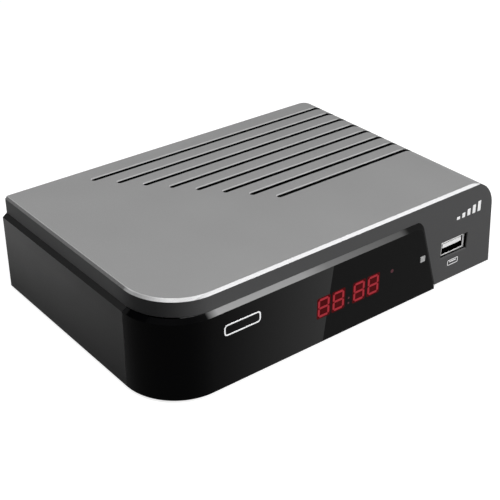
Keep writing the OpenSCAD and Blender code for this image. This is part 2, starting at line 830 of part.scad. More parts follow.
module switch_plunger() color("#303032") {
  rod_y(button_x, z_0 + button_z, plunger_y0, plunger_y0 + plunger_len, plunger_r);
}

module tact_switch() color("#b8babd") {
  x = button_x;
  z = z_0 + button_z;
  half = switch_side / 2;
  well = plunger_y0 + plunger_len + button_travel + plunger_spare;
  difference() {
    span([x - half, switch_y0, z - half], [x + half, fb_y0, z + half]);
    rod_y(x, z, switch_y0 - 1, well, plunger_r + plunger_gap);
  }
}

module front_board() color("#1d5c33") {
  span([fb_x0, fb_y0, fb_z0], [fb_x1, fb_y1, fb_z1]);
}

// One seven-segment digit with its lower left corner at the origin
module digit_outline() {
  w = digit_w;
  h = digit_h;
  s = segment_w / 2;
  edge = s - segment_gap;
  module bar(length) polygon([
    [segment_gap, 0], [s, edge], [length - s, edge],
    [length - segment_gap, 0], [length - s, -edge], [s, -edge]]);
  half = (h - 2 * s) / 2;
  for (z = [s, h / 2, h - s]) translate([s, z]) bar(w - 2 * s);
  for (x = [s, w - s], z = [s, s + half]) translate([x, z]) rotate(90) bar(half);
}

module display_face() {
  row_w = 3 * digit_pitch + colon_gap + digit_w;
  foot = z_0 + display_z - digit_h / 2;
  for (i = [0 : 3])
    translate([display_x - row_w / 2 + i * digit_pitch + (i > 1 ? colon_gap : 0), foot]) digit_outline();
  for (rise = colon_rises) translate([display_x, foot + rise]) circle(colon_r);
}

module display_module() color("#2a2a2c") {
  difference() {
    span([display_x - display_w / 2, display_y0, z_0 + display_z - display_h / 2],
         [display_x + display_w / 2, fb_y0, z_0 + display_z + display_h / 2]);
    along_y(display_y0 - 1, display_y0 + segment_t) display_face();
  }
}

module display_digits() color("red") {
  along_y(display_y0, display_y0 + segment_t) display_face();
}

module standby_led() color("crimson") {
  x = led_x;
  z = z_0 + led_z;
  rod_y(x, z, cover_y + led_front, fb_y0 - led_flange_t, led_r);
  translate([x, cover_y + led_front, z]) intersection() {
    sphere(led_r);
    rotate([90, 0, 0]) cylinder(h = 2 * led_r, r = 2 * led_r);
  }
  rod_y(x, z, fb_y0 - led_flange_t, fb_y0, led_flange_r);
}

module ir_receiver() color("#26262a") {
  z = z_0 + led_z;
  y0 = cover_y + ir_front;
  span([ir_x - ir_w / 2, y0, z - ir_h / 2], [ir_x + ir_w / 2, fb_y0, z + ir_h / 2]);
  intersection() {
    rod_y(ir_x, z, y0 - ir_lens_out, y0 + ir_lens_flat, ir_lens_r);
    translate([ir_x, y0 - ir_lens_out - ir_lens_flat + ir_lens_curve, z]) sphere(ir_lens_curve);
  }
}

// Box of the USB shell's section, grown sideways and at top and bottom, between two depths
module usb_box(grow_x, grow_z, y0, y1) {
  span([usb_x - usb_shell_w / 2 - grow_x, y0, usb_z - usb_shell_h / 2 - grow_z],
       [usb_x + usb_shell_w / 2 + grow_x, y1, usb_z + usb_shell_h / 2 + grow_z]);
}

module usb_shell() color("gainsboro") {
  difference() {
    union() {
      usb_box(0, 0, usb_y0, usb_y0 + usb_depth);
      // Lip turned out round the mouth
      usb_box(usb_lip_side, usb_lip_edge, usb_y0, usb_y0 + usb_sheet);
    }
    usb_box(-usb_sheet, -usb_sheet, usb_y0 - 1, usb_y0 + usb_depth - usb_base_t);
  }
  // Legs soldered to the board
  for (x = [usb_x - usb_shell_w / 2, usb_x + usb_shell_w / 2 - usb_sheet])
    span([x, usb_y0 + usb_leg_y, mb_z1], [x + usb_sheet, usb_y0 + usb_leg_y + usb_leg_w, usb_z]);
}

module usb_tongue() color("white") {
  span([usb_x - usb_tongue_w / 2, usb_tongue_y0, usb_tongue_z],
       [usb_x + usb_tongue_w / 2, usb_y0 + usb_depth - usb_base_t, usb_tongue_z + usb_tongue_h]);
}

module usb_contacts() color("gold") {
  half = usb_contact_w / 2;
  for (x = usb_contact_places)
    span([usb_x + x - half, usb_tongue_y0 + usb_contact_in, usb_tongue_z - usb_contact_t],
         [usb_x + x + half, usb_y0 + usb_depth - usb_base_t, usb_tongue_z]);
}

module main_board() color("#1d5c33") {
  difference() {
    union() {
      span([mb_x0, mb_y0, mb_z0], [mb_x1, mb_y1, mb_z1]);
      span([tongue_x0, tongue_y, mb_z0], [mb_x1, mb_y0 + eps, mb_z1]);
    }
    for (p = board_hole_places)
      translate([p[0], p[1], mb_z0 - 1]) cylinder(h = board_t + 2, r = board_hole_r);
  }
}

module board_screws() color("silver") {
  for (p = board_hole_places) translate([p[0], p[1], 0]) {
    translate([0, 0, mb_z1]) cylinder(h = board_screw_head_h, r = board_screw_head_r);
    translate([0, 0, mb_z1 - board_screw_len]) cylinder(h = board_screw_len + eps, r = board_screw_r);
  }
}

module ribbon_sockets() color("ivory") {
  half = ribbon_w / 2 + socket_spare;
  span([ribbon_x - half, fb_y1, ribbon_z - socket_h / 2],
       [ribbon_x + half, fb_y1 + socket_d, ribbon_z + socket_h / 2]);
  span([ribbon_x - half, socket_y - socket_d / 2, mb_z1],
       [ribbon_x + half, socket_y + socket_d / 2, mb_z1 + socket_h]);
}

module ribbon_cable() color("lightgray") {
  bend_y = socket_y - ribbon_bend;
  bend_z = ribbon_z - ribbon_bend;
  t = ribbon_t / 2;
  along_x(ribbon_x - ribbon_w / 2, ribbon_x + ribbon_w / 2) {
    translate([fb_y1 + socket_d, ribbon_z - t]) square([bend_y - fb_y1 - socket_d, ribbon_t]);
    intersection() {
      difference() {
        translate([bend_y, bend_z]) circle(ribbon_bend + t);
        translate([bend_y, bend_z]) circle(ribbon_bend - t);
      }
      translate([bend_y - eps, bend_z - eps]) square(ribbon_bend + 2);
    }
    translate([socket_y - t, mb_z1 + socket_h]) square([ribbon_t, bend_z - mb_z1 - socket_h]);
  }
}

module tuner_can() color("lightgray") {
  difference() {
    span([can_x0, can_y1 - can_d, mb_z1], [can_x0 + can_w, can_y1, mb_z1 + can_h]);
    span([can_x0 + can_sheet, can_y1 - can_d + can_sheet, mb_z1 - 1],
         [can_x0 + can_w - can_sheet, can_y1 - can_sheet, mb_z1 + can_h - can_sheet]);
  }
}

// Barrel of an aerial socket with a flange against the can
module rf_jack(x, r, bore_r) {
  difference() {
    union() {
      rod_y(x, rf_z, can_y1, y_b + jack_out, r);
      rod_y(x, rf_z, can_y1, panel_y1, rf_in_r);
    }
    rod_y(x, rf_z, rf_bore_y, y_b + jack_out + 1, bore_r);
  }
}

module rf_in_jack() color("silver") rf_jack(rf_in_x, rf_in_r, rf_in_bore_r);
module rf_out_jack() color("silver") rf_jack(rf_out_x, rf_out_r, rf_out_bore_r);

// Plastic disc at the bottom of an aerial socket, round its contact
module rf_insulator(x, r, contact_r) {
  difference() {
    rod_y(x, rf_z, rf_bore_y, rf_bore_y + rf_insulator_t, r);
    rod_y(x, rf_z, rf_bore_y - 1, rf_bore_y + rf_insulator_t + 1, contact_r);
  }
}

module rf_insulators() color("white") {
  rf_insulator(rf_in_x, rf_in_bore_r, rf_socket_r);
  rf_insulator(rf_out_x, rf_out_bore_r, rf_pin_r);
}

module rf_contacts() color("goldenrod") {
  difference() {
    rod_y(rf_in_x, rf_z, rf_bore_y, rf_bore_y + rf_socket_len, rf_socket_r);
    rod_y(rf_in_x, rf_z, rf_bore_y + 1, rf_bore_y + rf_socket_len + 1, rf_pin_r + rf_socket_gap);
  }
  rod_y(rf_out_x, rf_z, rf_bore_y, rf_bore_y + rf_pin_len, rf_pin_r);
}

// HDMI mouth: a flat box whose lower corners are cut
module hdmi_outline(grow) {
  w = hdmi_w / 2 + grow;
  h = hdmi_h / 2 + grow;
  c = hdmi_corner;
  polygon([[-w, h], [w, h], [w, c - h], [w - c, -h], [c - w, -h], [-w, c - h]]);
}

module hdmi_shell() color("silver") {
  y0 = hdmi_y1 - hdmi_depth;
  translate([hdmi_x, 0, hdmi_z]) difference() {
    along_y(y0, hdmi_y1) hdmi_outline(0);
    along_y(y0 + hdmi_back_t, hdmi_y1 + 1) hdmi_outline(-hdmi_sheet);
  }
  // Legs soldered to the board
  for (x = [hdmi_x - hdmi_w / 2, hdmi_x + hdmi_w / 2 - hdmi_sheet])
    span([x, hdmi_y1 - hdmi_leg_y, mb_z1], [x + hdmi_sheet, hdmi_y1 - hdmi_leg_y + hdmi_leg_w, hdmi_z]);
}

module hdmi_tongue() color("#151515") {
  z0 = hdmi_z - hdmi_tongue_drop;
  span([hdmi_x - hdmi_tongue_w / 2, hdmi_y1 - hdmi_depth + hdmi_back_t, z0],
       [hdmi_x + hdmi_tongue_w / 2, hdmi_y1 - hdmi_tongue_in, z0 + hdmi_tongue_t]);
}

module phono_housing() color("#18181a") {
  difference() {
    span([phono_x - phono_pitch / 2, panel_y0 - seam - phono_body_d, mb_z1],
         [phono_x + 2.5 * phono_pitch, panel_y0 - seam, mb_z1 + phono_body_h]);
    for (i = [0 : 2])
      rod_y(phono_x + i * phono_pitch, phono_z, panel_y0 - phono_insert_back, panel_y0 + 1, phono_insert_r);
  }
}

module phono_barrels() color("silver") {
  for (i = [0 : 2]) difference() {
    union() {
      rod_y(phono_x + i * phono_pitch, phono_z, panel_y1, y_b + jack_out, phono_r);
      rod_y(phono_x + i * phono_pitch, phono_z, panel_y0 - seam, panel_y1 + eps, phono_flange_r);
    }
    rod_y(phono_x + i * phono_pitch, phono_z, panel_y0 - 1, y_b + jack_out + 1, phono_insert_r);
  }
}

// Coloured core of one phono jack
module phono_insert(i) {
  x = phono_x + i * phono_pitch;
  difference() {
    rod_y(x, phono_z, panel_y0 - phono_insert_back, y_b + jack_out - phono_insert_in, phono_insert_r);
    rod_y(x, phono_z, panel_y0 - phono_bore_back, y_b + jack_out + 1, phono_bore_r);
  }
}

module phono_insert_yellow() color("gold") phono_insert(0);
module phono_insert_white() color("white") phono_insert(1);
module phono_insert_red() color("firebrick") phono_insert(2);

module dc_jack() color("#151515") {
  y1 = panel_y0 - seam;
  difference() {
    union() {
      span([dc_x - dc_w / 2, y1 - dc_depth, mb_z1], [dc_x + dc_w / 2, y1, mb_z1 + dc_h]);
      rod_y(dc_x, dc_z, y1 - eps, panel_y1 + dc_nose_out, dc_nose_r);
    }
    rod_y(dc_x, dc_z, panel_y1 - dc_bore_depth, panel_y1 + 1, dc_bore_r);
  }
}

module dc_pin() color("silver") {
  rod_y(dc_x, dc_z, panel_y1 - dc_bore_depth, panel_y1 - dc_pin_in, dc_pin_r);
}

module soc_chip() color("#202022") {
  half = soc_w / 2;
  span([soc_x - half, soc_y - half, mb_z1], [soc_x + half, soc_y + half, mb_z1 + soc_t]);
}

module heat_sink() color("silver") {
  half = sink_w / 2;
  z = mb_z1 + soc_t;
  fin_pitch = (sink_w - fin_t) / (fin_count - 1);
  span([soc_x - half, soc_y - half, z], [soc_x + half, soc_y + half, z + sink_base]);
  for (i = [0 : fin_count - 1])
    translate([soc_x - half + i * fin_pitch, soc_y - half, z + sink_base - eps])
      cube([fin_t, sink_w, sink_h - sink_base]);
}

module memory_chips() color("#202022") {
  for (p = memory_chip_sizes)
    translate([soc_x + p[0] - p[2] / 2, soc_y + p[1] - p[3] / 2, mb_z1]) cube([p[2], p[3], memory_t]);
}

module capacitors() color("#2b2f5a") {
  for (p = capacitor_places)
    translate([dc_x + p[0], mb_y1 - p[1], mb_z1]) cylinder(h = capacitor_h, r = capacitor_r);
}

module power_coil() color("#3a3a3e") {
  translate([dc_x - coil_left, mb_y1 - coil_front, mb_z1]) cylinder(h = coil_h, r = coil_r);
}

module crystal() color("silver") {
  x = soc_x - sink_w / 2 - crystal_gap - crystal_half - crystal_r;
  translate([x, soc_y + crystal_rear, mb_z1]) {
    span([-crystal_half, -crystal_r, 0], [crystal_half, crystal_r, crystal_h]);
    for (side = [-1, 1]) translate([side * crystal_half, 0, 0]) cylinder(h = crystal_h, r = crystal_r);
  }
}

top_cover();
bottom_case();
front_fascia();
rear_panel();
rubber_feet();
case_screws();
standby_button();
switch_plunger();
tact_switch();
front_board();
display_module();
display_digits();
standby_led();
ir_receiver();
usb_shell();
usb_tongue();
usb_contacts();
main_board();
board_screws();
ribbon_cable();
ribbon_sockets();
tuner_can();
rf_in_jack();
rf_out_jack();
rf_insulators();
rf_contacts();
hdmi_shell();
hdmi_tongue();
phono_housing();
phono_barrels();
phono_insert_yellow();
phono_insert_white();
phono_insert_red();
dc_jack();
dc_pin();
soc_chip();
heat_sink();
memory_chips();
capacitors();
power_coil();
crystal();
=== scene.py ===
"""Looks of a digital television receiver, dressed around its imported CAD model. Lengths are in metres."""
import json
import math

import bmesh
import bpy
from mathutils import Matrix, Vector
from mathutils.geometry import normal


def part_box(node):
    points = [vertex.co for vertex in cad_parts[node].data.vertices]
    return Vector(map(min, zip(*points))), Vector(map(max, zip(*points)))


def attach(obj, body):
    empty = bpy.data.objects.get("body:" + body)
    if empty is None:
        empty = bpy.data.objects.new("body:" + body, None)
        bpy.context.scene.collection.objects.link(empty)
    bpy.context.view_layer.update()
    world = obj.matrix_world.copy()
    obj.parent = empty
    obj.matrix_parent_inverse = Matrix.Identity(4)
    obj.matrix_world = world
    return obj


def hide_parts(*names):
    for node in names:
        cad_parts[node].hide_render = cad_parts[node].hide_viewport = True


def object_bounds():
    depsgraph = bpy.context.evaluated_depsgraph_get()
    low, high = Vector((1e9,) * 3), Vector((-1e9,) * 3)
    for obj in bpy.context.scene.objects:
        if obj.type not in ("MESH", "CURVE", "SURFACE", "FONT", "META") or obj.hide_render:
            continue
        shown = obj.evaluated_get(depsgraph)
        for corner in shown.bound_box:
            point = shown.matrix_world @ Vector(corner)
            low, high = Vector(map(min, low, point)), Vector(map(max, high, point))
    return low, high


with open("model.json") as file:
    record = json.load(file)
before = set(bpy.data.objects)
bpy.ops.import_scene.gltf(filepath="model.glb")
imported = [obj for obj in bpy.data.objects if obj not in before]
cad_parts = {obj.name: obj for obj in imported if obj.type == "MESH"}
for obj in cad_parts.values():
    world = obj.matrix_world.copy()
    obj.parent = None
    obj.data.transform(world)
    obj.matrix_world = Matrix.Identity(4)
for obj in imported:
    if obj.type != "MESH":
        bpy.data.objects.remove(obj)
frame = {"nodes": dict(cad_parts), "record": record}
nodes = frame["nodes"]
cad_low, cad_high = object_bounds()
MM = 0.001

# Places read from the frame
cover_low, cover_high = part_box("top_cover")
fascia_low, fascia_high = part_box("front_fascia")
usb_low, usb_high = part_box("usb_shell")
digits_low, digits_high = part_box("display_digits")
led_low, led_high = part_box("standby_led")
shell_z = cover_low.z
fascia_y = fascia_low.y
panel_y = cover_low.y

# Sizes that repeat the model's own
CORNER_R = 22 * MM
BEVEL_IN = 1.0 * MM
BEVEL_H = 1.1 * MM
DIGIT_W = 6.0 * MM
DIGIT_H = 8.5 * MM
DIGIT_PITCH = 7.5 * MM
COLON_GAP = 3.2 * MM
SEGMENT_W = 1.2 * MM
SEGMENT_GAP = 0.12 * MM
COVER_WALL = 2 * MM
ROLL_R = 14 * MM
RIGHT_DRAFT = 2 * MM
REAR_LIP_H = 2.4 * MM
OPENING_IN = 1 * MM
HOLE_CHAMFER = 0.5 * MM

# The rolled right edge: the line that its arcs go round, its inner radius, and the rear opening's right side
ROLL_IN_R = ROLL_R - COVER_WALL
roll_x = cover_high.x - RIGHT_DRAFT - ROLL_R
roll_z = cover_high.z - ROLL_R
opening_x = cover_high.x - RIGHT_DRAFT - COVER_WALL


def srgb(value):
    """Linear value of a display grey from 0 to 255."""
    v = value / 255
    return v / 12.92 if v <= 0.04045 else ((v + 0.055) / 1.055) ** 2.4


def grey(value):
    """Colour of a display grey from 0 to 255."""
    return (srgb(value),) * 3 + (1,)


def shaded(colour, share):
    """The colour times a share."""
    return tuple(c * share for c in colour[:3]) + (1,)


# Limits for the parts of a face's normal: it is a wall while its Z is below STEEP, looks up past UPWARD, is
# level past LEVEL, leans to a side past SLOPED and is square to that side past SQUARE
STEEP = 0.35
UPWARD = 0.5
LEVEL = 0.93
SLOPED = 0.3
SQUARE = 0.9
# Margins round the places that are tested
HAIR = 0.02 * MM
NEAR = 0.05 * MM
SLACK = 0.1 * MM
SLOT_INSET = 7 * MM
HOLE_MARGIN = 1.2 * MM

# Finishes, where a pair is a darker and a lighter colour of one uneven surface
EDGE_SAMPLES = 6
BLACK = (0, 0, 0, 1)
UNEVEN = 0.86
SILVER = grey(147)
SIDE_PAINT = ((0.076, 0.076, 0.077, 1), (0.088, 0.088, 0.089, 1))
BARE_BLACK = (0.003, 0.003, 0.003, 1)
# Shares of the paint's brightness for the painted highlight on the slots' rear edges and for the painted
# shade on the dark paint round the corner
SLOT_EDGE_HIGHLIGHT = 1.35
CORNER_SHADE = 0.45
# Bevel colours with painted light: a painted highlight on the front and corner, painted shade on the left,
# and a painted highlight line along the left bevel's top with its height
FRONT_CUT_HIGHLIGHT = ((0.47, 0.47, 0.475, 1), (0.53, 0.53, 0.535, 1))
CORNER_CUT_HIGHLIGHT = ((0.73, 0.73, 0.735, 1), (0.82, 0.82, 0.825, 1))
LEFT_CUT_SHADED = ((0.11, 0.11, 0.11, 1), (0.22, 0.22, 0.22, 1))
CUT_HIGHLIGHT_GREY = (0.5, 0.5, 0.5, 1)
CUT_HIGHLIGHT_LINE = 0.22 * MM
# Painted shade: the shares of the lower case's grey that are left at its foot and at its front, and where
# these fades run
FOOT_SHADE = 0.28
FRONT_SHADE = 0.46
FADE_Z = (shell_z + 3 * MM, shell_z + 26 * MM)
FADE_Y = (cover_low.y + 25 * MM, cover_high.y - 6 * MM)
PIANO_BLACK = (0.0015, 0.0015, 0.0017, 1)
# Grey of the painted reflection on the black left of the display window
REFLECTION_TINT = (0.042, 0.042, 0.042, 1)
WINDOW = (0.009, 0.009, 0.009, 1)
# The satin chamfer's painted reflection: its grey at places along it, from where it starts to where it ends
CHAMFER_REFLECTION = ((0.0, 0.31), (0.45, 0.26), (0.57, 0.15), (1.0, 0.075))
CHAMFER_ROUGH = 0.45
# Where that painted reflection starts past the rounded corner and ends before the fascia's right end
CHAMFER_REFLECTION_START = (cover_low.x + 18.6 * MM, cover_low.x + 23.4 * MM)
CHAMFER_REFLECTION_END = (cover_low.x + 113 * MM, cover_low.x + 117 * MM)
# Where the display window's left edge meets the fascia's top and foot
WINDOW_TOP_X = cover_low.x + 77.25 * MM
WINDOW_FOOT_X = cover_low.x + 72.85 * MM
MASK_GREEN = (0.012, 0.085, 0.03, 1)
TRACK_GREEN = (0.02, 0.15, 0.05, 1)
RED = (srgb(148), srgb(42), srgb(50), 1)
DIM_RED = (srgb(78), srgb(4), srgb(8), 1)
PINK = (srgb(84), srgb(50), srgb(56), 1)


class Shader:
    """A Principled material whose nodes are added one by one."""

    def __init__(self, name, colour, rough, metallic=0.0, specular=0.5):
        self.material = bpy.data.materials.new(name)
        self.material.use_nodes = True
        self.tree = self.material.node_tree
        self.bsdf = self.tree.nodes["Principled BSDF"]
        self.feed(self.bsdf, "Base Color", colour)
        self.feed(self.bsdf, "Roughness", rough)
        self.feed(self.bsdf, "Metallic", metallic)
        self.feed(self.bsdf, "Specular IOR Level", specular)
        self.coords = None

    def add(self, kind, **inputs):
        """A new node, whose sockets are named with _ for a space."""
        node = self.tree.nodes.new(kind)
        for socket, value in inputs.items():
            self.feed(node, socket.replace("_", " "), value)
        return node

    def feed(self, node, socket, value):
        """Links another node's output to the socket, or sets a plain value on it."""
        if isinstance(value, bpy.types.NodeSocket):
            self.tree.links.new(value, node.inputs[socket])
        else:
            node.inputs[socket].default_value = value

    def place(self):
        """The point's place in the part's own frame."""
        if self.coords is None:
            self.coords = self.tree.nodes.new("ShaderNodeTexCoord").outputs["Object"]
        return self.coords

    def math(self, kind, a, b=0.0, c=0.0):
        node = self.tree.nodes.new("ShaderNodeMath")
        node.operation = kind
        for i, value in enumerate((a, b, c)):
            self.feed(node, i, value)
        return node.outputs[0]

    def above(self, value, limit):
        return self.math("GREATER_THAN", value, limit)

    def below(self, value, limit):
        return self.math("LESS_THAN", value, limit)

    def every(self, first, *others):
        """Product of these, so 1 only where all of them are 1."""
        for other in others:
            first = self.math("MULTIPLY", first, other)
        return first

    def blend(self, a, b, share):
        """That share of a, and the rest of b."""
        return self.math("MULTIPLY_ADD", a, share, self.math("MULTIPLY", b, 1 - share))

    def noise(self, size, detail=2.0, rough=0.5, stretch=(1, 1, 1)):
        """Noise whose grains are about that size, from 0 to 1."""
        mapping = self.add("ShaderNodeMapping", Vector=self.place(), Scale=stretch)
        node = self.add("ShaderNodeTexNoise", Vector=mapping.outputs[0], Scale=1 / size,
                        Detail=detail, Roughness=rough)
        return node.outputs["Fac"]

    def ranged(self, value, low, high, start=0.3, end=0.7):
        """Goes from low to high as the value goes from start to end, by default most of a noise's range."""
        node = self.add("ShaderNodeMapRange", Value=value)
        for i, v in enumerate((start, end, low, high), 1):
            node.inputs[i].default_value = v
        return node.outputs[0]

    def tint(self, factor, dark, light):
        """Colour between two, by a factor from 0 to 1."""
        node = self.tree.nodes.new("ShaderNodeMix")
        node.data_type = "RGBA"
        self.feed(node, 0, factor)
        self.feed(node, 6, dark)
        self.feed(node, 7, light)
        return node.outputs[2]

    def ramp(self, factor, stops):
        """Grey that changes from stop to stop as the factor goes from 0 to 1."""
        node = self.add("ShaderNodeValToRGB", Fac=factor)
        points = node.color_ramp.elements
        for i, (place, value) in enumerate(stops):
            point = points[i] if i < len(points) else points.new(place)
            point.position = place
            point.color = (value, value, value, 1)
        return node.outputs[0]

    def colour(self, value):
        self.feed(self.bsdf, "Base Color", value)

    def rough(self, value):
        self.feed(self.bsdf, "Roughness", value)

    def bump(self, height, depth, edge=0.0):
        """Surface relief of that depth, over edges rounded in the shading by that radius."""
        node = self.add("ShaderNodeBump", Distance=depth, Height=height)
        if edge:
            bevel = self.add("ShaderNodeBevel", Radius=edge)
            bevel.samples = EDGE_SAMPLES
            self.feed(node, "Normal", bevel.outputs[0])
        self.feed(self.bsdf, "Normal", node.outputs[0])

    def normal_part(self, axis):
        """One part of the surface's own normal."""
        geometry = self.add("ShaderNodeNewGeometry")
        split = self.add("ShaderNodeSeparateXYZ", Vector=geometry.outputs["True Normal"])
        return split.outputs[axis]

    def place_part(self, axis):
        """One part of the point's place."""
        split = self.add("ShaderNodeSeparateXYZ", Vector=self.place())
        return split.outputs[axis]


def moulded(name, colour, rough=0.5, grain=0.35 * MM, depth=0.015 * MM, edge=0.15 * MM, specular=0.5,
            spread=0.12, ledge=None, painted_shade=False):
    """Moulded plastic: a fine eroded grain, slightly uneven in colour and gloss. A ledge that slopes up
    to the right can be drawn in another colour, and painted shade can darken the walls toward the foot and
    the front."""
    s = Shader(name, colour, rough, specular=specular)
    fine = s.noise(grain, detail=3)
    broad = s.noise(24 * MM, detail=1)
    mottle = s.ranged(s.blend(broad, fine, 0.4), 0, 1)
    tone = s.tint(mottle, shaded(colour, 1 - spread), shaded(colour, 1 + spread))
    # Painted shade darkens the wall toward its foot and its front
    if painted_shade:
        up = s.ranged(s.place_part("Z"), FOOT_SHADE, 1, *FADE_Z)
        rearward = s.ranged(s.place_part("Y"), FRONT_SHADE, 1, *FADE_Y)
        tone = s.tint(s.math("MULTIPLY", up, rearward), BLACK, tone)
    # The ledge that slopes up to the right is drawn in the given ledge colour
    if ledge:
        slope = s.every(s.above(s.normal_part("Z"), SLOPED), s.below(s.normal_part("X"), -SLOPED))
        tone = s.tint(slope, tone, ledge)
    s.colour(tone)
    s.rough(s.ranged(fine, rough - 0.06, rough + 0.06))
    s.bump(fine, depth, edge=edge)
    return s.material


def metal(name, colour, rough, walls=None):
    """Plated metal with faint drawing lines and handling marks. Walls that don't face the front can be
    given another colour as painted shade."""
    s = Shader(name, colour, rough, metallic=1.0)
    lines = s.noise(0.25 * MM, detail=3, stretch=(1, 0.06, 1))
    smudge = s.noise(5 * MM, detail=2)
    tone = s.tint(s.ranged(smudge, 0, 1), shaded(colour, UNEVEN), colour)
    # Painted shade: walls that don't face the front take the walls colour
    if walls:
        tone = s.tint(s.below(s.normal_part("Y"), -0.7), walls, tone)
    s.colour(tone)
    s.rough(s.ranged(s.blend(lines, smudge, 0.5), rough - 0.08, rough + 0.12))
    s.bump(lines, 0.004 * MM, edge=0.1 * MM)
    return s.material


def silver_paint():
    """Satin silver-grey paint over a black moulding, dark on the walls under the bevel, with a bright-cut
    bevel along the front, corner and left edges that has a painted highlight on the front and corner and
    painted shade on the left."""
    s = Shader("silver_cover", SILVER, 0.45, specular=0.015)
    flake = s.noise(0.22 * MM, detail=2)
    broad = s.noise(30 * MM, detail=1)
    paint = s.tint(s.ranged(s.blend(broad, flake, 0.25), 0, 1), shaded(SILVER, 0.92), shaded(SILVER, 1.08))
    nx, ny, nz = (s.normal_part(a) for a in "XYZ")
    x, y, z = (s.place_part(a) for a in "XYZ")
    left, front, top = cover_low.x, cover_low.y, cover_high.z
    # The walls under the bevel are masked and sprayed dark, and the rolled right side stays silver
    side = s.every(s.below(nz, STEEP), s.below(nx, SLOPED))
    side_paint = s.tint(s.ranged(flake, 0, 1), *SIDE_PAINT)
    # Painted shade makes the dark paint darkest round the rounded corner
    off_front = s.ranged(x, CORNER_SHADE, 1, left + 0.2 * CORNER_R, left + 0.9 * CORNER_R)
    off_left = s.ranged(y, CORNER_SHADE, 1, front + 0.75 * CORNER_R, front + 1.3 * CORNER_R)
    side_paint = s.tint(s.math("MAXIMUM", off_front, off_left), BLACK, side_paint)
    paint = s.tint(side, paint, side_paint)
    # The spray reaches neither the slots' walls nor the inside
    right_of = s.above(x, left + SLOT_INSET)
    left_of = s.below(x, cover_high.x - SLOT_INSET)
    within = s.every(s.above(y, front + SLOT_INSET), s.below(y, cover_high.y - SLOT_INSET))
    high = s.above(z, top - COVER_WALL - SLACK)
    among_slots = s.every(right_of, left_of, within, high)
    bare = s.every(among_slots, s.below(nz, UPWARD))
    # Over the rolled edge the slots' walls go lower, and face only front or back
    across = s.every(right_of, within, s.above(s.math("ABSOLUTE", ny), SQUARE))
    bare = s.math("MAXIMUM", bare, across)
    # The spray stays out of the USB socket's hole too, and the hole's rim is dark like the panel
    by_hole = s.every(
        s.above(x, usb_low.x - HOLE_MARGIN),
        s.below(x, usb_high.x + HOLE_MARGIN),
        s.below(z, usb_high.z + HOLE_MARGIN),
        s.below(y, panel_y + COVER_WALL + SLACK),
    )
    paint = s.tint(by_hole, paint, side_paint)
    hole = s.every(by_hole, s.above(y, panel_y + HOLE_CHAMFER + HAIR))
    bare = s.math("MAXIMUM", bare, hole)
    # Painted highlight: the paint is brighter on the slots' rear edges
    rear_edge_highlight = s.every(among_slots, s.above(nz, UPWARD), s.below(ny, -0.4))
    paint = s.tint(rear_edge_highlight, paint, shaded(SILVER, SLOT_EDGE_HIGHLIGHT))
    # Bevel: a slope that faces out over the front, corner or left edge
    slope = s.every(s.below(nz, LEVEL), s.above(nz, STEEP))
    on_left = s.every(slope, s.below(x, left + BEVEL_IN + NEAR), s.above(y, front + CORNER_R))
    on_corner = s.every(slope, s.below(x, left + CORNER_R), s.below(y, front + CORNER_R))
    near_front = s.every(s.below(y, front + BEVEL_IN + NEAR), s.above(z, top - BEVEL_H - NEAR))
    on_front = s.every(near_front, s.below(ny, -SLOPED), s.above(ny, -0.95), s.above(nz, 0.2))
    # Painted shade makes the left bevel duller, and a painted highlight draws a bright line along its top
    line = s.above(z, top - CUT_HIGHLIGHT_LINE)
    shaded_left_metal = s.tint(s.noise(1.1 * MM, detail=4, rough=0.7), *LEFT_CUT_SHADED)
    shaded_left_metal = s.tint(line, shaded_left_metal, CUT_HIGHLIGHT_GREY)
    # Round the corner the left bevel's painted shade turns into the painted highlight of the corner and front
    grain = s.noise(0.6 * MM, detail=3)
    highlighted_front_metal = s.tint(grain, *FRONT_CUT_HIGHLIGHT)
    turn = s.ranged(y, 1, 0, front + 0.25 * CORNER_R, front + CORNER_R)
    highlighted_corner_metal = s.tint(turn, shaded_left_metal, s.tint(grain, *CORNER_CUT_HIGHLIGHT))
    to_front = s.ranged(x, 0, 1, left + 0.6 * CORNER_R, left + CORNER_R)
    highlighted_corner_metal = s.tint(to_front, highlighted_corner_metal, highlighted_front_metal)
    painted = s.tint(on_left, paint, shaded_left_metal)
    painted = s.tint(on_corner, painted, highlighted_corner_metal)
    painted = s.tint(on_front, painted, highlighted_front_metal)
    s.colour(s.tint(bare, painted, BARE_BLACK))
    bright = s.math("MAXIMUM", on_corner, on_front)
    s.feed(s.bsdf, "Metallic", s.math("MULTIPLY", bright, 0.2))
    s.rough(s.math("MULTIPLY_ADD", bright, -0.12, s.ranged(flake, 0.38, 0.46)))
    s.bump(flake, 0.006 * MM, edge=0.18 * MM)
    return s.material


